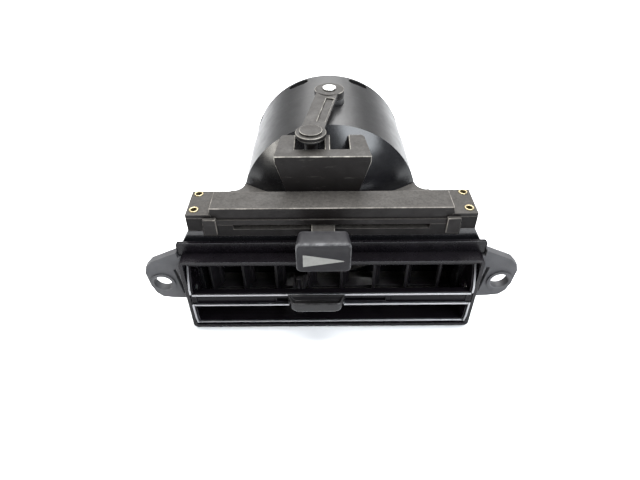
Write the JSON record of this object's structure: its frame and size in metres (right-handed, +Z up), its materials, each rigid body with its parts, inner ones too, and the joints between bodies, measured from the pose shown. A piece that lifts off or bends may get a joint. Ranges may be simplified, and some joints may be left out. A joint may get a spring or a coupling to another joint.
{
  "type": "dashboard air vent",
  "caption": "Dashboard air vent with ears, a tilting slatted outlet, upright vanes moved by a thumb tab, and a round duct whose flap is turned by a sliding knob.",
  "frame": {"origin": "midway between the two ear holes, on the ears' front face", "axes": "+X to the right seen from the cabin, +Y back into the dashboard along the duct, +Z up"},
  "size_m": [0.1772, 0.1187, 0.0974],
  "materials": {
    "frame_black": "satin moulded",
    "ear_grey": "fine matte",
    "housing_black": "glossy moulded",
    "duct_black": "satin moulded",
    "guide_grey": "fine grained, edges rubbed pale",
    "lever_grey": "fine grained",
    "eyelet_brass": "bright rolled",
    "knob_dark": "soft satin",
    "mark_grey": "printed",
    "spring_steel": "bright",
    "spindle_steel": "turned",
    "washer_black": "matte",
    "bush_nylon": "natural nylon",
    "flap_black": "moulded",
    "seal_foam": "closed-cell foam",
    "louvre_black": "gloss moulded",
    "bright_trim": "bright foil",
    "tab_black": "satin with soft edges",
    "vane_black": "moulded"
  },
  "bodies": {
    "root": {"front_frame": "frame_black", "mounting_bracket": "ear_grey", "air_box": "housing_black", "duct_collar": "duct_black", "guide_rail": "guide_grey", "guide_cover": "guide_grey", "eyelets": "eyelet_brass", "upper_bush": "bush_nylon", "lower_bush": "bush_nylon", "vane_rail_top": "vane_black", "vane_rail_bottom": "vane_black"},
    "slider": {"slider_bracket": "lever_grey", "slider_knob": "knob_dark", "airflow_mark": "mark_grey", "slider_spring": "spring_steel"},
    "flap": {"lever_arm": "lever_grey", "lever_pin": "lever_grey", "lever_washer": "washer_black", "flap_spindle": "spindle_steel", "spindle_clip": "spring_steel", "flap_disc": "flap_black", "flap_seal": "seal_foam", "flap_screws": "spindle_steel"},
    "louvre": {"louvre_frame": "louvre_black", "upper_trim": "bright_trim", "lower_trim": "bright_trim", "louvre_pivots": "spindle_steel", "pivot_washers": "washer_black"},
    "tab": {"thumb_tab": "tab_black", "tab_carrier": "vane_black"},
    "vane_link": {"vane_link": "vane_black"},
    "vane_1": {"vane_1": "vane_black"},
    "vane_2": {"vane_2": "vane_black"},
    "vane_3": {"vane_3": "vane_black"},
    "vane_4": {"vane_4": "vane_black"},
    "vane_5": {"vane_5": "vane_black"},
    "vane_6": {"vane_6": "vane_black"},
    "vane_7": {"vane_7": "vane_black"},
    "vane_8": {"vane_8": "vane_black"}
  },
  "joints": [
    {"name": "slider_slide", "type": "slide", "parent": "root", "child": "slider", "axis": [1, 0, 0], "range_m": [-0.018, 0.0345]},
    {"name": "flap_turn", "type": "hinge", "parent": "root", "child": "flap", "pos_m": [0, 0.069, 0.0175], "axis": [0, 0, 1], "range_deg": [-28.8, 55.2]},
    {"name": "louvre_tilt", "type": "hinge", "parent": "root", "child": "louvre", "pos_m": [0, 0.001, -0.005], "axis": [1, 0, 0], "range_deg": [-18, 18]},
    {"name": "tab_slide", "type": "slide", "parent": "louvre", "child": "tab", "axis": [1, 0, 0], "range_m": [-0.0063, 0.0205]},
    {"name": "vane_1_turn", "type": "hinge", "parent": "root", "child": "vane_1", "pos_m": [-0.0602, 0.025, 0.0175], "axis": [0, 0, 1], "range_deg": [-16.5, 53.6]},
    {"name": "vane_2_turn", "type": "hinge", "parent": "root", "child": "vane_2", "pos_m": [-0.043, 0.025, 0.0175], "axis": [0, 0, 1], "range_deg": [-16.5, 53.6]},
    {"name": "vane_3_turn", "type": "hinge", "parent": "root", "child": "vane_3", "pos_m": [-0.0258, 0.025, 0.0175], "axis": [0, 0, 1], "range_deg": [-16.5, 53.6]},
    {"name": "vane_4_turn", "type": "hinge", "parent": "root", "child": "vane_4", "pos_m": [-0.0086, 0.025, 0.0175], "axis": [0, 0, 1], "range_deg": [-16.5, 53.6]},
    {"name": "vane_5_turn", "type": "hinge", "parent": "root", "child": "vane_5", "pos_m": [0.0086, 0.025, 0.0175], "axis": [0, 0, 1], "range_deg": [-16.5, 53.6]},
    {"name": "vane_6_turn", "type": "hinge", "parent": "root", "child": "vane_6", "pos_m": [0.0258, 0.025, 0.0175], "axis": [0, 0, 1], "range_deg": [-16.5, 53.6]},
    {"name": "vane_7_turn", "type": "hinge", "parent": "root", "child": "vane_7", "pos_m": [0.043, 0.025, 0.0175], "axis": [0, 0, 1], "range_deg": [-16.5, 53.6]},
    {"name": "vane_8_turn", "type": "hinge", "parent": "root", "child": "vane_8", "pos_m": [0.0602, 0.025, 0.0175], "axis": [0, 0, 1], "range_deg": [-16.5, 53.6]},
    {"name": "link_slide", "type": "slide", "parent": "root", "child": "vane_link", "axis": [1, 0, 0], "range_m": [-0.00167, 0.00543]}
  ],
  "couplings": [
    {"joint": "flap_turn", "follows": "slider_slide", "rad_per_m": 27.9},
    {"joint": "vane_1_turn", "follows": "tab_slide", "rad_per_m": 45.6},
    {"joint": "vane_2_turn", "follows": "tab_slide", "rad_per_m": 45.6},
    {"joint": "vane_3_turn", "follows": "tab_slide", "rad_per_m": 45.6},
    {"joint": "vane_4_turn", "follows": "tab_slide", "rad_per_m": 45.6},
    {"joint": "vane_5_turn", "follows": "tab_slide", "rad_per_m": 45.6},
    {"joint": "vane_6_turn", "follows": "tab_slide", "rad_per_m": 45.6},
    {"joint": "vane_7_turn", "follows": "tab_slide", "rad_per_m": 45.6},
    {"joint": "vane_8_turn", "follows": "tab_slide", "rad_per_m": 45.6},
    {"joint": "link_slide", "follows": "tab_slide", "ratio": 0.26448}
  ]
}
